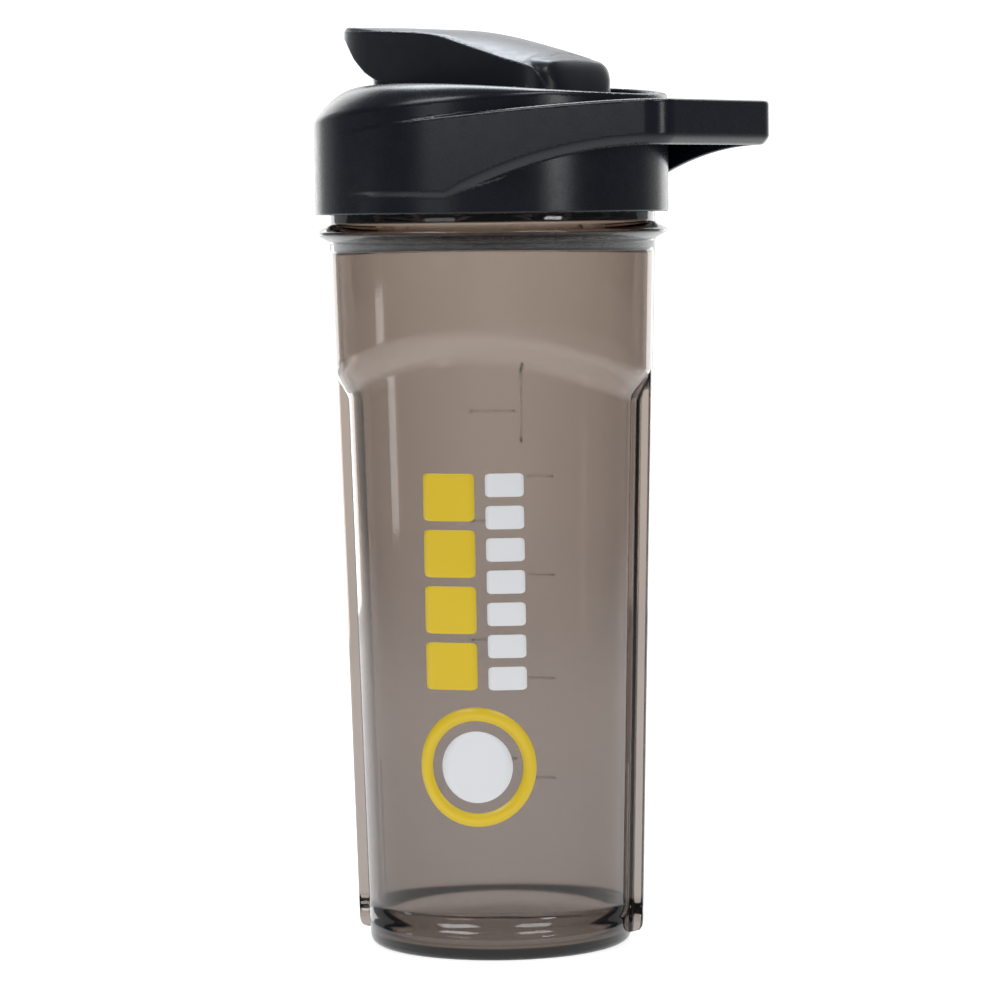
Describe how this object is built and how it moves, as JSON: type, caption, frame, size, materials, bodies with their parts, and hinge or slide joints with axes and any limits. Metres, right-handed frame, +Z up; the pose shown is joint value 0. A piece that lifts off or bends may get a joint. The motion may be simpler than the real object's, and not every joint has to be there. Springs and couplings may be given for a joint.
{
  "type": "shaker bottle",
  "caption": "Protein shaker bottle: translucent cup with arched shoulder and side ribs, screw lid with carry loop, flip cap over a round spout, and a mixing grid.",
  "frame": {"origin": "centre of the flat underside of the cup", "axes": "+Z up along the bottle's axis, +X towards the carry loop, so -X is the spout side"},
  "size_m": [0.114, 0.0912, 0.2353],
  "materials": {
    "smoke_plastic": "translucent smoke polypropylene, satin gloss",
    "strainer_plastic": "moulded, satin",
    "soft_seal": "soft matte",
    "lid_plastic": "moulded black, satin with fine grain",
    "pin_steel": "drawn wire",
    "cap_plastic": "moulded black, satin top and matte sides"
  },
  "bodies": {
    "cup_body": {"cup": "smoke_plastic", "strainer": "strainer_plastic"},
    "seal_ring": {"lid_gasket": "soft_seal"},
    "lid_body": {"lid": "lid_plastic", "hinge_pin": "pin_steel"},
    "cap_body": {"flip_cap": "cap_plastic", "spout_plug": "soft_seal"}
  },
  "joints": [
    {"name": "lid_lift", "type": "slide", "parent": "cup_body", "child": "seal_ring", "axis": [0, 0, 1], "range_m": [0, 0.005]},
    {"name": "lid_turn", "type": "hinge", "parent": "seal_ring", "child": "lid_body", "pos_m": [0, 0, 0.2], "axis": [0, 0, 1], "range_deg": [0, 360]},
    {"name": "cap_flip", "type": "hinge", "parent": "lid_body", "child": "cap_body", "pos_m": [0.021, 0, 0.2145], "axis": [0, 1, 0], "range_deg": [0, 110]}
  ],
  "couplings": [
    {"joint": "lid_lift", "follows": "lid_turn", "m_per_rad": 0.00079577}
  ]
}
